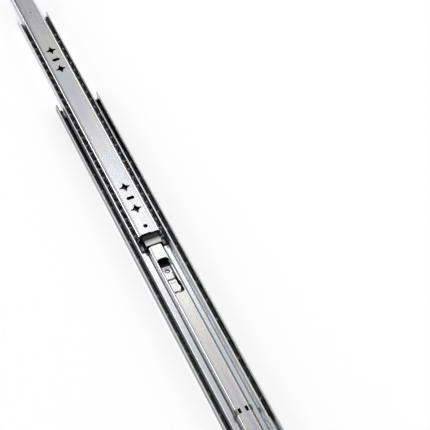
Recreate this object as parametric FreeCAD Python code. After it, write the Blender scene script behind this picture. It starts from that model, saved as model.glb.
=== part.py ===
import FreeCAD, Part
import math
import os

# Telescopic ball-bearing drawer slide, three nested rails, lying on the back of its cabinet rail.
# +X is the way the drawer pulls out, +Z points from the cabinet wall to the drawer, +Y is left.
# The origin is the centre of the cabinet rail's back face. All sizes are in mm.
# The model stands at its rest pose: partly pulled out.

V = FreeCAD.Vector

# ---- driving dimensions -------------------------------------------------------------------
T = 1.5                    # sheet thickness of all three rails
RAIL_LENGTH = 700.0        # cabinet rail and drawer rail
MIDDLE_LENGTH = 688.0      # middle rail
HALF_WIDTH = 25.5          # half of the 51 mm overall width
DEPTH = 15.5               # back face to drawer face
MIDDLE_OUT = 145.5         # middle rail pulled out of the cabinet rail at rest
DRAWER_OUT = 345.0         # drawer rail pulled out of the middle rail at rest, its full travel

CAB_X0, CAB_X1 = -RAIL_LENGTH / 2, RAIL_LENGTH / 2
MID_X1 = CAB_X1 + MIDDLE_OUT
MID_X0 = MID_X1 - MIDDLE_LENGTH
DRW_X1 = CAB_X1 + MIDDLE_OUT + DRAWER_OUT
DRW_X0 = DRW_X1 - RAIL_LENGTH

OUTER_BALL_R, OUTER_BALL_Y, OUTER_BALL_Z = 2.50, 21.30, 6.80
OUTER_BALL_PITCH, OUTER_BALLS, OUTER_FIRST = 25.0, 14, 243.0
INNER_BALL_R, INNER_BALL_Y, INNER_BALL_Z = 2.35, 15.05, 10.10
INNER_BALL_PITCH, INNER_BALLS, INNER_FIRST = 12.5, 26, 457.5
CAGE_T = 0.6
OUTER_CAGE = (-102.0, 258.0)
INNER_CAGE = (126.5, 486.5)

RIB_TOP = 11.9             # top of the middle rail's stiffening rib
SCREW_R = 2.3              # round screw holes of the cabinet rail
CAB_SCREWS = [CAB_X1 - 37.0, CAB_X1 - 261.0, CAB_X1 - 485.0, CAB_X1 - 677.0]
CAB_SLOTS = [CAB_X1 - 69.0, CAB_X1 - 293.0, CAB_X1 - 517.0]
DRW_GROUPS = [51.0, 275.0, 499.0]      # slot of each hole group, from the drawer rail's rear end
STAR_PITCH = 32.0
DRW_ROUND_R = 2.35
LEVER_PIVOT = (500.5, 0.0)


# ---- helpers ------------------------------------------------------------------------------
def unit(a):
    n = math.hypot(a[0], a[1])
    return (a[0] / n, a[1] / n)


def sheet_face(points, radii, t, plane):
    """Closed face of a bent sheet: a mid-line of straight runs joined by arcs, thickened by t/2 each side."""
    h = t / 2.0
    n = len(points)
    corners = []
    for i in range(1, n - 1):
        d1 = unit((points[i][0] - points[i - 1][0], points[i][1] - points[i - 1][1]))
        d2 = unit((points[i + 1][0] - points[i][0], points[i + 1][1] - points[i][1]))
        cross = d1[0] * d2[1] - d1[1] * d2[0]
        ang = math.acos(max(-1.0, min(1.0, d1[0] * d2[0] + d1[1] * d2[1])))
        s = 1.0 if cross > 0 else -1.0
        r = radii[i]
        tl = r * math.tan(ang / 2.0)
        a = (points[i][0] - d1[0] * tl, points[i][1] - d1[1] * tl)
        b = (points[i][0] + d2[0] * tl, points[i][1] + d2[1] * tl)
        c = (a[0] - d1[1] * r * s, a[1] + d1[0] * r * s)
        corners.append((a, b, c, r, s, d1, d2))

    def side(k):
        segs = []
        d0 = unit((points[1][0] - points[0][0], points[1][1] - points[0][1]))
        cur = (points[0][0] - d0[1] * k, points[0][1] + d0[0] * k)
        for (a, b, c, r, s, d1, d2) in corners:
            pa = (a[0] - d1[1] * k, a[1] + d1[0] * k)
            pb = (b[0] - d2[1] * k, b[1] + d2[0] * k)
            rr = r - s * k
            mx, my = unit(((a[0] + b[0]) / 2 - c[0], (a[1] + b[1]) / 2 - c[1]))
            m = (c[0] + mx * rr, c[1] + my * rr)
            if math.hypot(pa[0] - cur[0], pa[1] - cur[1]) > 1e-4:
                segs.append(("L", cur, pa))
            segs.append(("A", pa, m, pb))
            cur = pb
        dn = unit((points[-1][0] - points[-2][0], points[-1][1] - points[-2][1]))
        end = (points[-1][0] - dn[1] * k, points[-1][1] + dn[0] * k)
        segs.append(("L", cur, end))
        return segs

    up, down = side(h), side(-h)
    edges = []

    def add(seg):
        p = [plane(*q) for q in seg[1:]]
        if seg[0] == "L":
            edges.append(Part.LineSegment(p[0], p[1]).toShape())
        else:
            edges.append(Part.Arc(p[0], p[1], p[2]).toShape())

    for s_ in up:
        add(s_)
    add(("L", up[-1][-1], down[-1][-1]))
    for s_ in reversed(down):
        add((s_[0],) + tuple(reversed(s_[1:])))
    add(("L", down[0][1], up[0][1]))
    return Part.Face(Part.Wire(Part.__sortEdges__(edges)))


def mirrored(half):
    """Full list of (y, z, radius) from a half list that runs from the middle outwards to +Y."""
    left = [(-y, z, r) for (y, z, r) in reversed(half)]
    return left + half


def rolled(half, x0, x1):
    full = mirrored(half)
    pts = [(y, z) for (y, z, r) in full]
    rad = [r for (y, z, r) in full]
    face = sheet_face(pts, rad, T, lambda y, z: V(x0, y, z))
    return face.extrude(V(x1 - x0, 0, 0))


def box(x0, x1, y0, y1, z0, z1):
    return Part.makeBox(x1 - x0, y1 - y0, z1 - z0, V(x0, y0, z0))


def cyl(x, y, r, z0, z1):
    return Part.makeCylinder(r, z1 - z0, V(x, y, z0))


def slot_y(x, width, length, z0, z1):
    """Slot across the rail, with round ends."""
    r = width / 2.0
    e = length / 2.0 - r
    return box(x - r, x + r, -e, e, z0, z1).fuse([cyl(x, -e, r, z0, z1), cyl(x, e, r, z0, z1)])


def poly(points, z0, z1):
    w = Part.makePolygon([V(x, y, z0) for x, y in points + points[:1]])
    return Part.Face(w).extrude(V(0, 0, z1 - z0))


def star(x, z0, z1, tip=5.8, waist=3.1, blunt=0.75):
    """Four-pointed screw hole with hollow sides; its points lie along X and Y."""
    edges = []
    for k in range(4):
        a = math.radians(90 * k)
        a2 = math.radians(90 * (k + 1))
        am = (a + a2) / 2

        def tipside(ang, s):
            return V(x + tip * math.cos(ang) - s * blunt * math.sin(ang),
                     tip * math.sin(ang) + s * blunt * math.cos(ang), z0)
        p0, p1 = tipside(a, -1), tipside(a, 1)
        q = V(x + waist * math.cos(am), waist * math.sin(am), z0)
        n = tipside(a2, -1)
        edges.append(Part.LineSegment(p0, p1).toShape())
        edges.append(Part.Arc(p1, q, n).toShape())
    return Part.Face(Part.Wire(Part.__sortEdges__(edges))).extrude(V(0, 0, z1 - z0))


def both(fn):
    """A shape on the +Y side and its mirror on the -Y side."""
    s = fn
    return [s, s.mirror(V(0, 0, 0), V(0, 1, 0))]


nodes = {}

# ---- cabinet rail -------------------------------------------------------------------------
cab = rolled([
    (23.70, T / 2, 1.6),
    (HALF_WIDTH - T / 2, 5.2, 3.0),
    (HALF_WIDTH - T / 2, 8.4, 3.0),
    (24.25, 14.0, 0.0),
], CAB_X0, CAB_X1)
cuts = [cyl(x, 0, SCREW_R, -1, 3) for x in CAB_SCREWS]
cuts += [slot_y(x, 4.6, 9.0, -1, 3) for x in CAB_SLOTS]
cuts += [cyl(CAB_X0 + 6.0, 0, 2.05, -1, 3)]
cab = cab.cut(cuts)
# tabs that stop the outer ball cage at the front
tab = box(343.6, 345.1, 19.9, 24.4, 1.2, 8.6)
cab = cab.fuse(both(tab)).removeSplitter()
nodes["cabinet_member"] = cab

# rubber-like buffer at the rear of the cabinet rail, held by one rivet
bx0, bx1 = CAB_X0 + 1.0, CAB_X0 + 11.0
buf = box(bx0, bx1, -11.0, 11.0, T, 6.1)
buf = buf.makeChamfer(0.8, [e for e in buf.Edges if abs(e.CenterOfMass.z - 6.1) < 0.01])
buf = buf.cut([cyl(CAB_X0 + 6.0, 0, 3.4, 4.0, 7.0), cyl(CAB_X0 + 6.0, 0, 2.05, 0, 7.0),
               box(bx1 - 1.2, bx1 + 1, -4.0, 4.0, T - 1, 3.0)])
nodes["rear_buffer"] = buf
riv = cyl(CAB_X0 + 6.0, 0, 2.0, 0.0, 4.0).fuse(cyl(CAB_X0 + 6.0, 0, 3.2, 4.0, 5.2)).removeSplitter()
riv = riv.makeFillet(0.7, [e for e in riv.Edges if abs(e.CenterOfMass.z - 5.2) < 0.01 and e.Length > 15])
nodes["rear_buffer_rivet"] = riv

# ---- middle rail --------------------------------------------------------------------------
FLOOR = 2.9 + T / 2
mid = rolled([
    (6.85, RIB_TOP - T / 2, 2.7),
    (8.60, FLOOR, 1.3),
    (15.30, FLOOR, 2.2),
    (17.85, 6.5, 1.2),
    (17.85, 7.6, 1.6),
    (18.50, 9.7, 1.6),
    (18.50, 10.7, 1.6),
    (17.50, 14.0, 0.0),
], MID_X0, MID_X1)
# access hole in the rib: round shoulders to the front, straight to the rear
hx0, hx1, hy, hr = 95.9, 107.7, 6.5, 4.4
dh = box(hx0, hx1 - hr, -hy, hy, 10.0, 14.0)
dh = dh.fuse([box(hx1 - hr - 0.01, hx1, -(hy - hr), hy - hr, 10, 14), cyl(hx1 - hr, hy - hr, hr, 10, 14),
              cyl(hx1 - hr, -(hy - hr), hr, 10, 14)])
# spring tongue lanced behind it, with a wider relief at its root
relief = poly([(97.0, -3.3), (97.0, -4.9), (75.5, -4.9), (73.5, -5.9), (62.6, -5.9), (60.6, -4.4), (59.8, 0.9),
               (60.6, 2.8), (60.6, 5.2), (63.1, 5.2), (63.1, 2.2), (62.5, 0.4), (62.5, -1.6), (66.2, -3.3)], 10, 14)
left_cut = box(66.0, 97.0, 5.55, 5.95, 10, 14)
tongue_gap = box(66.0, 97.0, -3.5, 5.6, 10.0, 14.0)
mid = mid.cut([dh, relief, left_cut, tongue_gap])
tongue = sheet_face([(65.9, RIB_TOP - T / 2), (77.5, RIB_TOP - T / 2), (80.3, RIB_TOP - T / 2 - 0.9),
                     (91.5, RIB_TOP - T / 2 - 0.9), (95.8, RIB_TOP - T / 2 - 0.1)],
                    [0, 1.5, 1.5, 1.5, 0], T, lambda x, z: V(x, -3.3, z)).extrude(V(0, 8.85, 0))
tongue = tongue.cut([cyl(90.5, 1.2, 1.5, 8, 14), box(69.0, 87.5, -3.5, -2.3, 8, 14)])
# lanced windows with ears on the rib's flanks: they stop the inner ball cage
LANCE_X = -88.0
wins = [box(LANCE_X - 2.8, LANCE_X + 2.8, 2.3, 5.3, 10.0, 14.0), box(LANCE_X - 2.8, LANCE_X + 2.8, -5.3, -2.3, 10.0, 14.0)]
ears = both(box(LANCE_X - 2.6, LANCE_X + 2.6, 6.9, 9.3, 7.4, 11.4))
mid = mid.cut(wins)
# catch tab on the rib for the release lever, and tabs that stop the two cages
catch = box(470.0, 471.5, 4.3, 6.4, 11.2, 13.6)
front_tabs = both(box(489.6, 491.1, 14.4, 17.4, 5.3, 11.6))
rear_tabs = both(box(MID_X0 + 1.0, MID_X0 + 2.5, 18.3, 22.4, 3.0, 8.8))
mid = mid.fuse([tongue, catch] + ears + front_tabs + rear_tabs).removeSplitter()
nodes["middle_member"] = mid

# ---- drawer rail --------------------------------------------------------------------------
drw = rolled([
    (12.75, DEPTH - T / 2, 3.0),
    (11.55, 10.9, 2.0),
    (11.55, 9.4, 2.0),
    (12.60, 6.9, 0.0),
], DRW_X0, DRW_X1)
cuts = []
for g in DRW_GROUPS:
    xc = DRW_X0 + g
    cuts += [star(xc - STAR_PITCH / 2, 13, 17), star(xc + STAR_PITCH / 2, 13, 17), slot_y(xc, 4.4, 8.8, 13, 17)]
cuts += [cyl(DRW_X0 + 10.0, 0, DRW_ROUND_R, 13, 17), cyl(DRW_X1 - 10.0, 0, DRW_ROUND_R, 13, 17)]
cuts += [cyl(LEVER_PIVOT[0], LEVER_PIVOT[1], 1.25, 13, 17)]
# small step in the rear edge
cuts += [box(DRW_X0 - 1, DRW_X0 + 0.9, -2.0, 9.0, 13, 17)]
drw = drw.cut(cuts)
nodes["drawer_member"] = drw

# ---- release lever and its rivet ----------------------------------------------------------
px, py = LEVER_PIVOT
LZ0, LZ1 = 12.5, 13.65
arm = poly([(539.5, -8.6), (543.5, -6.6), (544.0, -4.6), (541.0, -3.2), (508.0, -2.2), (503.5, 1.0), (500.5, 2.6),
            (476.0, 2.6), (471.4, 3.3), (469.2, 3.3), (469.2, 6.0), (464.5, 6.0), (462.0, 3.0), (462.0, -1.8), (466.0, -4.0),
            (494.0, -4.6), (500.0, -5.4), (508.0, -8.4)], LZ0, LZ1)
arm = arm.fuse(cyl(px, py, 3.7, LZ0, LZ1)).removeSplitter()
arm = arm.cut([cyl(px, py, 1.75, LZ0 - 1, LZ1 + 1),
               box(512.0, 533.0, -6.4, -5.2, LZ0 - 1, LZ1 + 1)])
grip = [box(x, x + 1.0, -7.4, -4.2, LZ0 - 0.3, LZ0) for x in (536.0, 538.2, 540.4)]
arm = arm.fuse(grip).removeSplitter()
nodes["release_lever"] = arm
# shoulder rivet: shank through the drawer rail, journal in the lever, head under the lever
rv = cyl(px, py, 1.2, LZ0 - 0.3, DEPTH).fuse([cyl(px, py, 1.7, LZ0 - 0.3, 13.97),
                                              cyl(px, py, 2.9, LZ0 - 0.36, LZ0 - 0.06)]).removeSplitter()
nodes["lever_rivet"] = rv

# ---- outer ball cage ----------------------------------------------------------------------
ox0, ox1 = OUTER_CAGE
oz0, oz1 = 1.9, 10.6
oy = OUTER_BALL_Y
strips = both(box(ox0, ox1, oy - CAGE_T / 2, oy + CAGE_T / 2, oz0, oz1))
bridges = [box(x0, x1, -oy, oy, oz0, oz0 + 0.55) for x0, x1 in ((ox0, ox0 + 16), (70.0, 86.0), (ox1 - 16, ox1))]
ocage = strips[0].fuse([strips[1]] + bridges).removeSplitter()
outer_x = [OUTER_FIRST - OUTER_BALL_PITCH * i for i in range(OUTER_BALLS)]
pockets = [Part.makeCylinder(OUTER_BALL_R + 0.1, 2.0, V(x, s * oy - 1.0, OUTER_BALL_Z), V(0, 1, 0))
           for x in outer_x for s in (-1, 1)]
ocage = ocage.cut(pockets)
nodes["outer_ball_cage"] = ocage
for side, s in (("left", 1), ("right", -1)):
    nodes["outer_balls_" + side] = Part.makeCompound(
        [Part.makeSphere(OUTER_BALL_R, V(x, s * oy, OUTER_BALL_Z)) for x in outer_x])

# ---- inner ball cage ----------------------------------------------------------------------
ix0, ix1 = INNER_CAGE
iy = INNER_BALL_Y
BRIDGE_W = 7.8
bz = 5.5                              # mid height of the bridge where it passes under the drawer rail
strips = both(box(ix0 + 5.0, ix1, iy - CAGE_T / 2, iy + CAGE_T / 2, bz - 0.3, 13.3))
# rear bridge: from each strip down under the drawer rail's flange and over the rib
br = sheet_face([(-iy, 12.6), (-iy, bz), (-10.3, bz), (-8.3, 12.95), (8.3, 12.95), (10.3, bz), (iy, bz), (iy, 12.6)],
                [0, 0.9, 0.9, 1.3, 1.3, 0.9, 0.9, 0], CAGE_T, lambda y, z: V(ix0, y, z)).extrude(V(BRIDGE_W, 0, 0))
ears2 = [poly([(ix0 + BRIDGE_W, s * 10.6), (ix0 + BRIDGE_W, s * 14.9), (ix0 + 9.6, s * 14.9), (ix0 + 11.0, s * 13.6), (ix0 + 10.4, s * 11.6),
               (ix0 + 8.6, s * 10.6)], bz - CAGE_T / 2, bz + CAGE_T / 2) for s in (-1, 1)]
icage = br.fuse(strips + ears2).removeSplitter()
inner_x = [INNER_FIRST - INNER_BALL_PITCH * i for i in range(INNER_BALLS)]
pockets = [Part.makeCylinder(INNER_BALL_R + 0.1, 1.6, V(x, s * iy - 0.8, INNER_BALL_Z), V(0, 1, 0))
           for x in inner_x for s in (-1, 1)]
icage = icage.cut(pockets)
nodes["inner_ball_cage"] = icage
for side, s in (("left", 1), ("right", -1)):
    nodes["inner_balls_" + side] = Part.makeCompound(
        [Part.makeSphere(INNER_BALL_R, V(x, s * iy, INNER_BALL_Z)) for x in inner_x])

# black plastic saddle at the cage's rear end, on the rib just in front of the bridge
sad = sheet_face([(-9.75, 7.2), (-8.15, 13.0), (8.15, 13.0), (9.75, 7.2)], [0, 1.2, 1.2, 0], 0.9,
                 lambda y, z: V(ix0 + BRIDGE_W + 0.15, y, z)).extrude(V(5.6, 0, 0))
nodes["cage_end_pad"] = sad

# ---- write --------------------------------------------------------------------------------
os.makedirs("parts", exist_ok=True)
total = 0.0
for name, shape in nodes.items():
    ok = shape.isValid()
    vol = shape.Volume
    total += vol
    bb = shape.BoundBox
    print("%-20s valid %s solids %d vol %.0f  x %.1f..%.1f y %.1f..%.1f z %.2f..%.2f" % (
        name, ok, len(shape.Solids), vol, bb.XMin, bb.XMax, bb.YMin, bb.YMax, bb.ZMin, bb.ZMax))
    shape.exportStep("parts/" + name + ".step")
print("total volume", total)
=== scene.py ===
import bpy, bmesh, math
from mathutils import Matrix, Vector


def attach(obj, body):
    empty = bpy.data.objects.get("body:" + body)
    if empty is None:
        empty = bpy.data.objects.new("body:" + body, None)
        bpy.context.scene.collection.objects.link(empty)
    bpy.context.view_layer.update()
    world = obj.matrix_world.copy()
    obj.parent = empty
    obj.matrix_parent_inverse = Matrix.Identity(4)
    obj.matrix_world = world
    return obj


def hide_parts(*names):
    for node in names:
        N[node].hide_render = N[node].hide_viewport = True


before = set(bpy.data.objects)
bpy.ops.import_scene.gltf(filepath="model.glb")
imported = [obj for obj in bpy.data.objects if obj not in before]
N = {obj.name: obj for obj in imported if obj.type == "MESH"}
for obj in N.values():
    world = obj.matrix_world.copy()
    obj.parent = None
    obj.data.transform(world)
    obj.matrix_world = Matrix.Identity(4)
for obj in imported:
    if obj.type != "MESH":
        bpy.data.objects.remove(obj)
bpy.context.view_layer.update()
scene = bpy.context.scene


# ------------------------------------------------------------------ camera
C = Vector((-0.67546, 0.30435, 1.15703))
fwd = Vector((0.55831199, -0.25977334, -0.78791213))
up = Vector((0.71736133, -0.32591033, 0.61577202))
right = Vector((-0.41674986, -0.9090106, 0.00439171))
cam_data = bpy.data.cameras.new("camera")
cam_data.sensor_width = 36.0
cam_data.lens = 115.52
cam_data.clip_start = 0.05
cam_data.clip_end = 50
cam = bpy.data.objects.new("camera", cam_data)
cam.matrix_world = Matrix(((right.x, up.x, -fwd.x, C.x), (right.y, up.y, -fwd.y, C.y), (right.z, up.z, -fwd.z, C.z), (0, 0, 0, 1)))
scene.collection.objects.link(cam)
scene.camera = cam


# ------------------------------------------------------------------ materials
class Nodes:
    """Small helper for node trees."""
    def __init__(self, name):
        self.m = bpy.data.materials.new(name)
        self.m.use_nodes = True
        self.t = self.m.node_tree
        self.t.nodes.clear()
        self.out = self.t.nodes.new("ShaderNodeOutputMaterial")
        self.b = self.t.nodes.new("ShaderNodeBsdfPrincipled")
        self.t.links.new(self.b.outputs[0], self.out.inputs[0])
        self.co = self.t.nodes.new("ShaderNodeTexCoord")

    def n(self, kind, **kw):
        x = self.t.nodes.new(kind)
        for k, v in kw.items():
            setattr(x, k, v)
        return x

    def link(self, a, b):
        self.t.links.new(a, b)

    def mapped(self, scale, loc=(0, 0, 0)):
        mp = self.n("ShaderNodeMapping")
        mp.inputs["Scale"].default_value = scale
        mp.inputs["Location"].default_value = loc
        self.link(self.co.outputs["Object"], mp.inputs["Vector"])
        return mp.outputs[0]

    def noise(self, scale, nscale=1.0, detail=3.0, rough=0.5, loc=(0, 0, 0), distortion=0.0):
        x = self.n("ShaderNodeTexNoise")
        x.inputs["Scale"].default_value = nscale
        x.inputs["Detail"].default_value = detail
        x.inputs["Roughness"].default_value = rough
        x.inputs["Distortion"].default_value = distortion
        self.link(self.mapped(scale, loc), x.inputs["Vector"])
        return x.outputs["Fac"]

    def ramp(self, fac, stops, interp="LINEAR"):
        r = self.n("ShaderNodeValToRGB")
        r.color_ramp.interpolation = interp
        e = r.color_ramp.elements
        while len(e) < len(stops):
            e.new(0.5)
        for i, (p, c) in enumerate(stops):
            e[i].position = p
            e[i].color = (*c, 1) if len(c) == 3 else c
        self.link(fac, r.inputs[0])
        return r.outputs[0]

    def mix(self, fac, a, b, mode="MIX"):
        x = self.n("ShaderNodeMix", data_type="RGBA", blend_type=mode)
        for sock, v in ((x.inputs[0], fac), (x.inputs[6], a), (x.inputs[7], b)):
            if isinstance(v, (int, float)):
                sock.default_value = v
            elif isinstance(v, (tuple, list)):
                sock.default_value = (*v, 1) if len(v) == 3 else v
            else:
                self.link(v, sock)
        return x.outputs[2]

    def math(self, op, a, b=None, clamp=False):
        x = self.n("ShaderNodeMath", operation=op, use_clamp=clamp)
        for sock, v in ((x.inputs[0], a), (x.inputs[1], b)):
            if v is None:
                continue
            if isinstance(v, (int, float)):
                sock.default_value = v
            else:
                self.link(v, sock)
        return x.outputs[0]

    def axis(self, i):
        if not hasattr(self, "sep"):
            self.sep = self.n("ShaderNodeSeparateXYZ")
            self.link(self.co.outputs["Object"], self.sep.inputs[0])
        return self.sep.outputs[i]

    def maprange(self, v, a, b, c, d):
        x = self.n("ShaderNodeMapRange")
        x.inputs[1].default_value, x.inputs[2].default_value = a, b
        x.inputs[3].default_value, x.inputs[4].default_value = c, d
        self.link(v, x.inputs[0])
        return x.outputs[0]


def zinc(name, base, tint, rough=0.20, seed=0.0, streak=1.0, wall_shade=None, crease_shade=None, stripes=(), under_rail_shade=None, grime_and_painted_light=()):
    """Bright zinc plate on rolled sheet: lengthwise rolling lines, clouds of thin passivation colour, small spots."""
    k = Nodes(name)
    clouds = k.noise((9, 60, 60), 1.0, 2.0, 0.55, (seed, seed * 2, 0))
    bands = k.noise((3.2, 130, 40), 1.0, 1.5, 0.5, (seed * 3, 4 + seed, 0))
    hue = k.math("ADD", k.math("MULTIPLY", clouds, 0.6), k.math("MULTIPLY", bands, 0.4))
    film = k.ramp(hue, [(0.30, tint[0]), (0.42, tint[1]), (0.50, tint[2]), (0.58, tint[3]), (0.72, tint[4])])
    grain = k.noise((14, 2600, 2600), 1.0, 2.5, 0.6, (0, seed, 0))
    fine = k.noise((60, 9000, 9000), 1.0, 2.0, 0.5, (0, 3 + seed, 0))
    col = k.mix(streak * 0.5, base, film)
    # coloured bloom lying along the rail: (colour, x0, x1, y0, y1, amount)
    for i, (c, x0, x1, y0, y1, amount) in enumerate(stripes):
        wob = k.maprange(k.noise((14, 30, 0), 1.0, 2.0, 0.5, (seed + 3 * i, 7, 0)), 0.3, 0.7, -0.0016, 0.0016)
        y = k.math("ADD", k.axis(1), wob)
        xm, ym = (x0 + x1) / 2, (y0 + y1) / 2
        fx = k.maprange(k.math("ABSOLUTE", k.math("SUBTRACT", k.axis(0), xm)), (x1 - x0) * 0.25, (x1 - x0) * 0.62, 1.0, 0.0)
        fy = k.maprange(k.math("ABSOLUTE", k.math("SUBTRACT", y, ym)), (y1 - y0) * 0.2, (y1 - y0) * 0.75, 1.0, 0.0)
        patch = k.maprange(k.noise((34, 140, 0), 1.0, 2.0, 0.5, (seed, 2 + i, 0)), 0.28, 0.6, 0.45, 1.0)
        col = k.mix(k.math("MULTIPLY", k.math("MULTIPLY", fx, fy), k.math("MULTIPLY", patch, amount)), col, c)
    col = k.mix(k.maprange(grain, 0.3, 0.7, 0.0, 0.14), col, (0.50, 0.51, 0.53))
    spots = k.noise((420, 420, 420), 1.0, 2.0, 0.6, (seed, 9, 0))
    col = k.mix(k.maprange(spots, 0.66, 0.80, 0.0, 0.18), col, (0.42, 0.42, 0.44))
    if wall_shade:
        # painted shade: the outside of the side walls is darkened towards the colour in the fourth value, by the share
        # in the third, standing in for the shaded floor they mirror: |y| beyond the first value, z below the second
        ay = k.math("ABSOLUTE", k.axis(1))
        side = k.math("MULTIPLY", k.maprange(ay, wall_shade[0] - 0.0003, wall_shade[0], 0.0, 1.0), k.maprange(k.axis(2), wall_shade[1], wall_shade[1] + 0.002, 1.0, 0.0))
        col = k.mix(k.math("MULTIPLY", side, wall_shade[2]), col, wall_shade[3])
    if crease_shade:
        # painted shade in the creases beside the rib, near black: |y| from c0 to c1, fading out upwards from z0 to z1
        c0, c1, z0, z1, amount = crease_shade
        ay = k.math("ABSOLUTE", k.math("ADD", k.axis(1), k.maprange(clouds, 0.3, 0.7, -0.0002, 0.0002)))
        near = k.math("MULTIPLY", k.maprange(ay, c0 - 0.0003, c0 + 0.0004, 0.0, 1.0), k.maprange(ay, c1 - 0.0002, c1 + 0.0006, 1.0, 0.0))
        # the painted shade climbs the +Y flank, and lies in the foot and along the shoulder on the -Y side
        left = k.maprange(k.axis(1), -0.0001, 0.0001, 0.0, 1.0)
        low = k.math("ADD", k.math("MULTIPLY", left, k.maprange(k.axis(2), z0, z1, 1.0, 0.0)),
                     k.math("MULTIPLY", k.math("SUBTRACT", 1.0, left), k.maprange(k.axis(2), 0.0046, 0.0056, 1.0, 0.0)))
        near = k.math("MAXIMUM", near, k.math("MULTIPLY", k.maprange(k.axis(1), -0.0070, -0.0066, 1.0, 0.0), k.maprange(k.axis(1), -0.0094, -0.0090, 0.0, 1.0)))
        shoulder = k.math("MULTIPLY", k.maprange(k.axis(1), -0.0070, -0.0066, 1.0, 0.0),
                          k.math("MULTIPLY", k.maprange(k.axis(2), 0.0112, 0.0116, 1.0, 0.0), k.maprange(k.axis(2), 0.0090, 0.0096, 0.0, 0.35)))
        low = k.math("MAXIMUM", low, shoulder)
        col = k.mix(k.math("MULTIPLY", k.math("MULTIPLY", near, low), amount), col, (0.055, 0.062, 0.056))
    if under_rail_shade:
        # painted shade: the run that lies under the next rail is coloured almost black: x beyond the first value, |y|
        # within the second
        under_shade_on = k.math("MULTIPLY", k.maprange(k.axis(0), under_rail_shade[0], under_rail_shade[0] + 0.004, 0.0, 1.0),
                         k.maprange(k.math("ABSOLUTE", k.axis(1)), under_rail_shade[1], under_rail_shade[1] + 0.001, 1.0, 0.0))
        under_shade_on = k.math("MULTIPLY", under_shade_on, k.maprange(k.axis(2), 0.0040, 0.0044, 0.0, 1.0))
        col = k.mix(k.math("MULTIPLY", under_shade_on, k.maprange(clouds, 0.3, 0.7, 0.93, 0.99)), col, (0.02, 0.02, 0.02))
    bare = 1.0
    for x0, x1, y0, y1, z0, z1, soft, amount, colour, matt in grime_and_painted_light:
        # a patch painted over the plate; the patches paint shade, highlights and oil: x, y and z limits, width of its
        # faded ends, how much, its colour, how matt
        on = k.maprange(k.axis(0), x0 - soft, x0 + soft, 0.0, 1.0)
        for v, lo, hi in ((k.axis(0), x1 + soft, x1 - soft), (k.axis(1), y0 - 0.0003, y0 + 0.0003), (k.axis(1), y1 + 0.0003, y1 - 0.0003),
                          (k.axis(2), z0 - 0.0003, z0 + 0.0003), (k.axis(2), z1 + 0.0003, z1 - 0.0003)):
            on = k.math("MULTIPLY", on, k.maprange(v, lo, hi, 0.0, 1.0))
        col = k.mix(k.math("MULTIPLY", on, k.maprange(clouds, 0.3, 0.7, amount * 0.92, amount)), col, colour)
        if matt:
            bare = k.math("SUBTRACT", bare, k.math("MULTIPLY", on, matt), True)
    k.link(col, k.b.inputs["Base Color"])
    if bare == 1.0:
        k.b.inputs["Metallic"].default_value = 1.0
    else:
        k.link(bare, k.b.inputs["Metallic"])
    rr = k.math("ADD", k.maprange(grain, 0.3, 0.7, rough - 0.04, rough + 0.05), k.maprange(clouds, 0.3, 0.7, -0.02, 0.02))
    k.link(rr, k.b.inputs["Roughness"])
    bump = k.n("ShaderNodeBump")
    bump.inputs["Strength"].default_value = 0.16
    bump.inputs["Distance"].default_value = 0.00008
    h = k.math("ADD", k.math("MULTIPLY", grain, 0.7), k.math("MULTIPLY", fine, 0.3))
    k.link(h, bump.inputs["Height"])
    k.link(bump.outputs[0], k.b.inputs["Normal"])
    return k.m


# near black for oil films and for painted shade in races, gaps and creases
OIL_AND_SHADE_BLACK = (0.045, 0.046, 0.046)
WARM, PINK, PALE, LILAC, BLUE = (0.90, 0.88, 0.83), (0.90, 0.86, 0.87), (0.89, 0.90, 0.90), (0.84, 0.83, 0.91), (0.80, 0.86, 0.92)
# cabinet: painted shade darkens the outer side walls and paints the races past the outer cage's end and the inner half
# of the +Y lip near black; the matt white strip on the -Y lip is a painted highlight
m_cab = zinc("zinc_cabinet", (0.82, 0.83, 0.85), (PALE, WARM, PALE, LILAC, BLUE), 0.22, 1.0, 0.7, (0.0251, 0.0115, 0.8, (0.10, 0.10, 0.11)),
             grime_and_painted_light=((0.225, 0.360, 0.0178, 0.0246, 0.0008, 0.0142, 0.012, 0.95, OIL_AND_SHADE_BLACK, 0.0),
                    (0.225, 0.360, -0.0246, -0.0178, 0.0008, 0.0086, 0.012, 0.95, OIL_AND_SHADE_BLACK, 0.0),
                    (-0.400, 0.360, 0.0228, 0.0244, 0.0120, 0.0165, 0.002, 0.80, OIL_AND_SHADE_BLACK, 0.0),
                    (-0.400, 0.360, -0.0247, -0.0234, 0.0090, 0.0140, 0.002, 0.80, (0.94, 0.94, 0.95), 0.6)))
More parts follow.
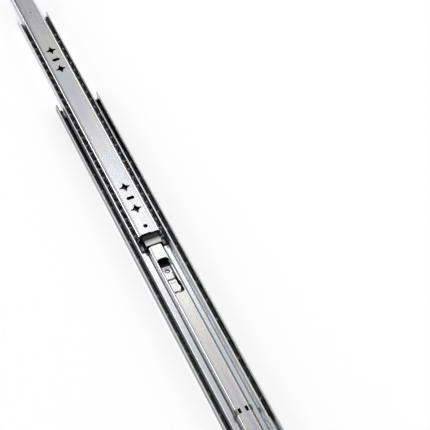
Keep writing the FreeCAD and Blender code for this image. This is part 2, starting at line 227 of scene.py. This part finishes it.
# middle: painted shade darkens the outer side walls lilac grey, the creases, the feet beside the rib, the run under the
# drawer and the lines at the -Y floor's bend; the two lance ears are coloured dark; the matt near-white strip on the
# inner -Y side and the matt lilac band on the outer face of the +Y side are painted light
m_mid = zinc("zinc_middle", (0.88, 0.89, 0.90), (BLUE, PALE, PALE, PINK, LILAC), 0.17, 5.0, 0.9,
             wall_shade=(0.0184, 0.0118, 0.5, (0.46, 0.44, 0.54)),
             crease_shade=(0.0071, 0.0094, 0.0046, 0.0100, 0.85), under_rail_shade=(0.1405, 0.0090), grime_and_painted_light=((-0.0912, -0.0848, 0.0066, 0.0098, 0.0060, 0.0130, 0.0004, 0.85, OIL_AND_SHADE_BLACK, 0.0),
                    (-0.0912, -0.0848, -0.0098, -0.0066, 0.0060, 0.0130, 0.0004, 0.85, OIL_AND_SHADE_BLACK, 0.0),
                    (-0.190, 0.124, -0.0102, -0.0086, 0.0030, 0.0056, 0.006, 0.92, OIL_AND_SHADE_BLACK, 0.0),
                    (-0.190, 0.124, 0.0088, 0.0098, 0.0030, 0.0056, 0.006, 0.65, OIL_AND_SHADE_BLACK, 0.0),
                    (-0.190, 0.130, -0.0151, -0.0142, 0.0030, 0.0057, 0.006, 0.62, (0.10, 0.10, 0.12), 0.0),
                    (-0.190, 0.130, -0.0164, -0.0148, 0.0030, 0.0057, 0.006, 0.50, (0.22, 0.22, 0.26), 0.0),
                    (-0.190, 0.130, -0.0182, -0.0160, 0.0060, 0.0122, 0.006, 0.90, (0.95, 0.95, 0.97), 0.85),
                    (-0.200, 0.520, 0.0181, 0.0200, 0.0055, 0.0132, 0.002, 0.90, (0.70, 0.68, 0.78), 0.6)),
             stripes=(((0.95, 0.90, 0.76), -0.020, 0.066, -0.0040, 0.0016, 0.65), ((0.93, 0.80, 0.73), -0.070, 0.004, -0.0026, 0.0012, 0.65),
                      ((0.74, 0.67, 0.88), -0.150, -0.052, -0.0030, 0.0010, 0.7), ((0.74, 0.86, 0.96), -0.190, 0.125, -0.0150, -0.0100, 0.6),
                      ((0.74, 0.78, 0.92), -0.190, 0.125, 0.0098, 0.0135, 0.55), ((0.95, 0.89, 0.80), 0.100, 0.130, -0.0040, 0.0040, 0.6)))
# drawer: the grey patch over x 0.452 to 0.660 darkens the web there; the matt near-white strip on the -Y bend is a
# painted highlight; beyond x 0.47 the +Y flange is greyer and less metallic and the -Y flange darker
m_drw = zinc("zinc_drawer", (0.88, 0.88, 0.90), (BLUE, LILAC, PALE, PINK, WARM), 0.20, 11.0, 0.8,
             stripes=(((0.80, 0.77, 0.92), 0.290, 0.385, -0.0030, 0.0080, 0.75), ((0.76, 0.87, 0.96), 0.215, 0.262, -0.0060, 0.0030, 0.7),
                      ((0.95, 0.90, 0.84), 0.225, 0.350, -0.0085, -0.0040, 0.5), ((0.76, 0.87, 0.97), 0.372, 0.398, -0.0020, 0.0060, 0.7),
                      ((0.50, 0.50, 0.54), 0.452, 0.660, -0.0300, 0.0300, 0.42), ((0.93, 0.93, 0.80), 0.418, 0.462, -0.0070, 0.0040, 0.7), ((0.94, 0.86, 0.86), 0.236, 0.285, 0.0010, 0.0070, 0.5)),
             grime_and_painted_light=((0.470, 0.860, 0.0117, 0.0140, 0.0050, 0.0138, 0.010, 0.75, (0.62, 0.62, 0.66), 0.45),
                    (0.138, 0.470, -0.0127, -0.0113, 0.0138, 0.0162, 0.003, 0.80, (0.96, 0.96, 0.97), 0.7),
                    (0.470, 0.860, -0.0140, -0.0113, 0.0050, 0.0162, 0.010, 0.70, (0.30, 0.30, 0.33), 0.0)))


def steel(name, base, rough, scale=900.0, contrast=0.25, seed=0.0):
    k = Nodes(name)
    a = k.noise((scale, scale, scale), 1.0, 4.0, 0.6, (seed, 0, 0))
    dark = tuple(c * (1 - contrast) for c in base)
    k.link(k.ramp(a, [(0.3, dark), (0.7, base)]), k.b.inputs["Base Color"])
    k.b.inputs["Metallic"].default_value = 1.0
    k.link(k.maprange(a, 0.3, 0.7, rough + 0.08, rough - 0.05), k.b.inputs["Roughness"])
    bump = k.n("ShaderNodeBump")
    bump.inputs["Strength"].default_value = 0.15
    bump.inputs["Distance"].default_value = 0.0001
    k.link(a, bump.inputs["Height"])
    k.link(bump.outputs[0], k.b.inputs["Normal"])
    return k.m


# near-black cage steel: dark with oil, and also painted shade for the deep gaps it runs in
m_cage = steel("cage_oiled_steel_and_shade", (0.10, 0.10, 0.11), 0.38, 700, 0.5, 2)
m_ball = steel("ball_polished", (0.46, 0.46, 0.48), 0.20, 1500, 0.2, 4)
m_ball_big = steel("ball_greased", (0.50, 0.50, 0.51), 0.26, 1500, 0.2, 14)
m_rivet = steel("rivet_zinc", (0.62, 0.63, 0.66), 0.3, 1200, 0.3, 6)
# dark grey steel for the tongue's collar: painted shade round its hole
m_collar_shade = steel("rolled_collar_shaded", (0.34, 0.34, 0.36), 0.34, 1600, 0.4, 16)
# near black for the walls of punched holes: painted shade inside the holes
m_hole_shade = steel("punched_edge_shade", (0.075, 0.075, 0.08), 0.5, 2200, 0.5, 8)


def bridge_steel(name, x_end, half):
    """Cage strip coloured near black, dark with oil and as painted shade of the gaps it runs in, whose rear bridge
    plate keeps a bright bare-metal colour: x below x_end, |y| within half.
    """
    k = Nodes(name)
    a = k.noise((700, 700, 700), 1.0, 4.0, 0.6, (2, 0, 0))
    dark = k.ramp(a, [(0.3, (0.05, 0.05, 0.055)), (0.7, (0.11, 0.11, 0.12))])
    shine = k.ramp(k.noise((300, 900, 300), 1.0, 3.0, 0.6, (4, 1, 0)), [(0.3, (0.86, 0.86, 0.88)), (0.7, (0.97, 0.97, 0.98))])
    on = k.math("MULTIPLY", k.maprange(k.axis(0), x_end - 0.0050, x_end, 1.0, 0.0), k.maprange(k.math("ABSOLUTE", k.axis(1)), half - 0.0008, half, 1.0, 0.0))
    # painted shade: the plate stays black along its rear edge, below x 0.12665 to 0.12715
    on = k.math("MULTIPLY", on, k.maprange(k.axis(0), 0.12665, 0.12715, 0.0, 1.0))
    # painted highlight: the curled ears at its two ends get a half-strength bright patch
    ay = k.math("ABSOLUTE", k.axis(1))
    ear = k.math("MULTIPLY", k.maprange(ay, 0.0098, 0.0104, 0.0, 0.5), k.maprange(ay, 0.0128, 0.0134, 1.0, 0.0))
    ear = k.math("MULTIPLY", ear, k.math("MULTIPLY", k.maprange(k.axis(0), 0.1276, 0.1284, 0.0, 1.0), k.maprange(k.axis(0), 0.1325, 0.1340, 1.0, 0.0)))
    k.link(k.mix(k.math("MAXIMUM", on, ear), dark, shine), k.b.inputs["Base Color"])
    k.b.inputs["Metallic"].default_value = 1.0
    k.link(k.maprange(a, 0.3, 0.7, 0.42, 0.28), k.b.inputs["Roughness"])
    bump = k.n("ShaderNodeBump")
    bump.inputs["Strength"].default_value = 0.15
    bump.inputs["Distance"].default_value = 0.0001
    k.link(a, bump.inputs["Height"])
    k.link(bump.outputs[0], k.b.inputs["Normal"])
    return k.m


m_icage = bridge_steel("inner_cage_steel", 0.1346, 0.0090)


def plastic(name, base, rough, scale=1500.0, seed=0.0):
    k = Nodes(name)
    a = k.noise((scale, scale, scale), 1.0, 3.0, 0.6, (seed, 0, 0))
    w = k.noise((90, 90, 90), 1.0, 2.0, 0.5, (seed, 5, 0))
    c2 = tuple(min(1, c * 1.7 + 0.01) for c in base)
    k.link(k.ramp(w, [(0.35, base), (0.7, c2)]), k.b.inputs["Base Color"])
    k.link(k.maprange(a, 0.3, 0.7, rough - 0.06, rough + 0.08), k.b.inputs["Roughness"])
    bump = k.n("ShaderNodeBump")
    bump.inputs["Strength"].default_value = 0.3
    bump.inputs["Distance"].default_value = 0.0001
    k.link(a, bump.inputs["Height"])
    k.link(bump.outputs[0], k.b.inputs["Normal"])
    return k.m


m_rubber = plastic("rubber_black", (0.018, 0.018, 0.018), 0.62, 2500, 1)
m_pad = plastic("pad_black", (0.014, 0.014, 0.016), 0.42, 2000, 3)
m_lever = plastic("lever_black", (0.02, 0.02, 0.023), 0.40, 1800, 5)

MATS = {
    "outer_ball_cage": m_cage,
    "inner_ball_cage": m_icage, "outer_balls_left": m_ball_big, "outer_balls_right": m_ball_big, "inner_balls_left": m_ball,
    "inner_balls_right": m_ball,
}
for node, mat in MATS.items():
    o = N[node]
    o.data.materials.clear()
    o.data.materials.append(mat)


# ------------------------------------------------------------------ finished meshes
def components(edges):
    """Groups of edges that share vertices."""
    left, out = set(edges), []
    while left:
        e = left.pop()
        group, stack = [e], [e]
        while stack:
            x = stack.pop()
            for v in x.verts:
                for y in v.link_edges:
                    if y in left:
                        left.remove(y)
                        group.append(y)
                        stack.append(y)
        out.append(group)
    return out


def extent(group):
    co = [v.co for e in group for v in e.verts]
    return max(max(c[i] for c in co) - min(c[i] for c in co) for i in range(3))


def finish_mesh(bm, name, body, mat, smooth=60):
    """Turns a bmesh into a piece that rides on a body, with weighted normals."""
    bmesh.ops.recalc_face_normals(bm, faces=bm.faces)
    for f in bm.faces:
        f.smooth = True
    me = bpy.data.meshes.new(name)
    bm.to_mesh(me)
    bm.free()
    me.materials.append(mat)
    o = bpy.data.objects.new(name, me)
    scene.collection.objects.link(o)
    wn = o.modifiers.new("normals", "WEIGHTED_NORMAL")
    wn.keep_sharp = True
    wn.weight = 60
    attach(o, body)
    return o


def rounded(node, name, body, mat, w_long, w_rim, long_over=0.03, segs=2, cut=None):
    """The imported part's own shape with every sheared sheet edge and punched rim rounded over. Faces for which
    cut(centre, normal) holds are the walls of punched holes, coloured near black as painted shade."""
    bm = bmesh.new()
    bm.from_mesh(N[node].data)
    bmesh.ops.remove_doubles(bm, verts=bm.verts, dist=1e-6)
    bmesh.ops.dissolve_limit(bm, angle_limit=math.radians(0.6), verts=bm.verts, edges=bm.edges)
    sharp = [e for e in bm.edges if e.is_manifold and e.calc_face_angle() > math.radians(40)]
    for group in sorted(components(sharp), key=lambda g: (round(extent(g), 5), len(g))):
        group = [e for e in group if e.is_valid]
        w = w_long if extent(group) > long_over else w_rim
        if w > 0:
            bmesh.ops.bevel(bm, geom=group, offset=w, segments=segs, profile=0.5, affect="EDGES", clamp_overlap=True,
                            offset_type="OFFSET")
    if cut:
        bm.faces.ensure_lookup_table()
        for f in bm.faces:
            f.normal_update()
            f.material_index = 1 if cut(f.calc_center_median(), f.normal) else 0
    o = finish_mesh(bm, name, body, mat)
    if cut:
        o.data.materials.append(m_hole_shade)
    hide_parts(node)
    return o


def drawer_holes(c, n):
    return abs(c.y) < 0.0085 and 0.0140 < c.z < 0.01545 and abs(n.z) < 0.75 and 0.1425 < c.x < 0.8385


def rib_holes(c, n):
    return abs(c.y) < 0.0066 and 0.0098 < c.z < 0.01185 and abs(n.z) < 0.6 and -0.095 < c.x < 0.110


rounded("cabinet_member", "cabinet_rail", "cabinet", m_cab, 0.00022, 0.00018)
rounded("middle_member", "middle_rail", "middle", m_mid, 0.00022, 0.00012, cut=rib_holes)
rounded("drawer_member", "drawer_rail", "drawer", m_drw, 0.00022, 0.00010, cut=drawer_holes)
rounded("cage_end_pad", "end_pad", "inner_cage", m_pad, 0.0003, 0.0003)
rounded("release_lever", "lever", "release", m_lever, 0.00022, 0.00018)
rounded("lever_rivet", "lever_rivet_head", "drawer", m_rivet, 0.0002, 0.0002)
rounded("rear_buffer", "rear_bumper", "cabinet", m_rubber, 0.0005, 0.0005)
rounded("rear_buffer_rivet", "rear_rivet", "cabinet", m_rivet, 0.0002, 0.0002)


def swept_ring(name, centre, ring, wire, tilt, body, mat, n=40, m=10, lobes=0.0):
    """A rolled collar: a round bead swept around an almost circular path, a little higher at its front."""
    bm = bmesh.new()
    rows = []
    for i in range(n):
        a = 2 * math.pi * i / n
        rr = ring * (1 + lobes * math.cos(3 * a))
        p = Vector((centre[0] + rr * math.cos(a), centre[1] + rr * math.sin(a), centre[2] + tilt * math.cos(a)))
        out = Vector((math.cos(a), math.sin(a), 0))
        rows.append([bm.verts.new(p + out * wire * math.cos(2 * math.pi * j / m) + Vector((0, 0, 0.8 * wire * math.sin(2 * math.pi * j / m))))
                     for j in range(m)])
    for i in range(n):
        for j in range(m):
            bm.faces.new((rows[i][j], rows[(i + 1) % n][j], rows[(i + 1) % n][(j + 1) % m], rows[i][(j + 1) % m]))
    return finish_mesh(bm, name, body, mat)


def bead(name, pts, half_w, height, body, mat, m=8):
    """A pressed ridge: a low round-backed bead along a line of points, tapering to nothing at its ends."""
    bm = bmesh.new()
    rows = []
    for i, p in enumerate(pts):
        p = Vector(p)
        q = Vector(pts[min(i + 1, len(pts) - 1)]) - Vector(pts[max(i - 1, 0)])
        q.z = 0
        side = Vector((-q.y, q.x, 0)).normalized()
        t = math.sin(math.pi * (i + 0.35) / (len(pts) - 0.3)) ** 0.5
        row = []
        for j in range(m + 1):
            u = -1 + 2 * j / m
            row.append(bm.verts.new(p + side * (half_w * t * u) + Vector((0, 0, height * t * (1 - u * u)))))
        low = [bm.verts.new(Vector((v.co.x, v.co.y, p.z - 0.0003))) for v in row]
        rows.append((row, low))
    for (a, al), (b, bl) in zip(rows[:-1], rows[1:]):
        for j in range(m):
            bm.faces.new((a[j], a[j + 1], b[j + 1], b[j]))
            bm.faces.new((al[j + 1], al[j], bl[j], bl[j + 1]))
        bm.faces.new((al[0], a[0], b[0], bl[0]))
        bm.faces.new((a[m], al[m], bl[m], b[m]))
    for row, low, flip in ((rows[0][0], rows[0][1], 1), (rows[-1][0], rows[-1][1], 0)):
        loop = list(row) + list(reversed(low))
        bm.faces.new(loop if flip else list(reversed(loop)))
    return finish_mesh(bm, name, body, mat)


# pressed detail of the spring tongue: the rolled collar round its hole, a stiffening bead each side of it and a fold
# the collar's dark grey is painted shade round the hole
swept_ring("tongue_collar", (0.0905, 0.0012, 0.01108), 0.0021, 0.00050, 0.00012, "middle", m_collar_shade, lobes=0.05)
bead("tongue_bead_left", [(0.0955 - 0.0008 * i, 0.0046 - 0.0001 * i * (i < 5), 0.01102) for i in range(10)], 0.00045, 0.00042, "middle", m_mid)
bead("tongue_bead_right", [(0.0950 - 0.0008 * i, -0.0017 + 0.00005 * i, 0.01102) for i in range(9)], 0.00045, 0.00042, "middle", m_mid)
bead("tongue_fold", [(0.0741 - 0.00006 * i, 0.0052 - 0.0008 * i, 0.01188) for i in range(9)], 0.00055, 0.00035, "middle", m_mid)


# ------------------------------------------------------------------ floor and light
def plane(name, sx, sy, loc, mat):
    bm = bmesh.new()
    bmesh.ops.create_grid(bm, x_segments=1, y_segments=1, size=1)
    me = bpy.data.meshes.new(name)
    bm.to_mesh(me)
    bm.free()
    o = bpy.data.objects.new(name, me)
    o.scale = (sx, sy, 1)
    o.location = loc
    scene.collection.objects.link(o)
    me.materials.append(mat)
    return o


kf = Nodes("floor_white")
fn = kf.noise((3, 3, 3), 1.0, 2.0, 0.5)
kf.link(kf.ramp(fn, [(0.3, (0.93, 0.93, 0.93)), (0.7, (0.95, 0.95, 0.95))]), kf.b.inputs["Base Color"])
kf.b.inputs["Roughness"].default_value = 0.9
kf.b.inputs["Specular IOR Level"].default_value = 0.1
kf.b.inputs["Emission Color"].default_value = (1, 1, 1, 1)
kf.b.inputs["Emission Strength"].default_value = 0.495
floor = plane("floor", 6, 6, (0, 0, -0.0006), kf.m)


def softbox(name, x0, x1, a0, a1, radiance, dist=5.0, centre=(0.22, 0, 0)):
    """A square-cornered soft box that fills a patch of the sky dome above the slide: x0..x1 is the part of its
    direction along the slide, a0..a1 its angle about the slide's long axis (0 overhead, + towards +Y)."""
    xm, am = (x0 + x1) / 2, math.radians((a0 + a1) / 2)
    c = math.sqrt(1 - xm * xm)
    d = Vector((xm, c * math.sin(am), c * math.cos(am)))
    along = Vector((c, -xm * math.sin(am), -xm * math.cos(am)))
    across = Vector((0, math.cos(am), -math.sin(am)))
    sx = dist * (math.asin(x1) - math.asin(x0))
    sy = dist * c * math.radians(a1 - a0)
    L = bpy.data.lights.new(name, "AREA")
    L.shape = "RECTANGLE"
    L.size, L.size_y = sx, sy
    L.energy = radiance * sx * sy * math.pi
    o = bpy.data.objects.new(name, L)
    p = Vector(centre) + d * dist
    o.matrix_world = Matrix(((along.x, across.x, d.x, p.x), (along.y, across.y, d.y, p.y), (along.z, across.z, d.z, p.z), (0, 0, 0, 1)))
    o.visible_camera = False
    scene.collection.objects.link(o)
    return o


# The tent: broad boxes behind the camera, overhead and to the sides.
softbox("tent_back_low", -0.85, -0.58, -42, 42, 0.42)
softbox("tent_back_high", -0.58, -0.3, -42, 42, 0.55)
softbox("tent_top", -0.3, 0.35, -42, 42, 0.62)
softbox("tent_left", -0.85, 0.35, 42, 86, 0.62)
softbox("tent_right", -0.85, 0.35, -86, -42, 0.62)
# low panels that close the tent at both ends
for i, (a0, a1) in enumerate(((-80, -30), (-30, 30), (30, 80))):
    softbox("tent_end_rear_%d" % i, -0.992, -0.85, a0, a1, 0.42)
    softbox("tent_end_front_%d" % i, 0.80, 0.992, a0, a1, 0.15)
# The graded bank ahead of the slide that its rolled surfaces mirror: one row of panels per band along the slide,
# from the -Y horizon over the top to the +Y horizon.
BANK_EDGES = (-86, -66, -42, -18, -7, 8, 30, 52, 70, 86)
BANK = (
    (0.35, 0.5, (0.32, 1.12, 0.55, 0.66, 0.42, 0.79, 0.13, 2.49, 2.69)),
    (0.5, 0.62, (1.87, 1.43, 0.85, 1.55, 0.49, 1.07, 0.13, 1.59, 3.14)),
    (0.62, 0.78, (1.78, 0.84, 0.42, 0.62, 0.13, 0.39, 0.13, 0.13, 2.68)),
)
for i, (x0, x1, levels) in enumerate(BANK):
    for j, level in enumerate(levels):
        softbox("bank_%d_%d" % (i, j), x0, x1, BANK_EDGES[j], BANK_EDGES[j + 1], level)

w = bpy.data.worlds.new("studio")
scene.world = w
w.use_nodes = True
w.node_tree.nodes["Background"].inputs[0].default_value = (0.95, 0.95, 0.96, 1)
w.node_tree.nodes["Background"].inputs[1].default_value = 1.0
w.cycles_visibility.diffuse = False
w.cycles_visibility.glossy = False
scene.view_settings.view_transform = "Standard"
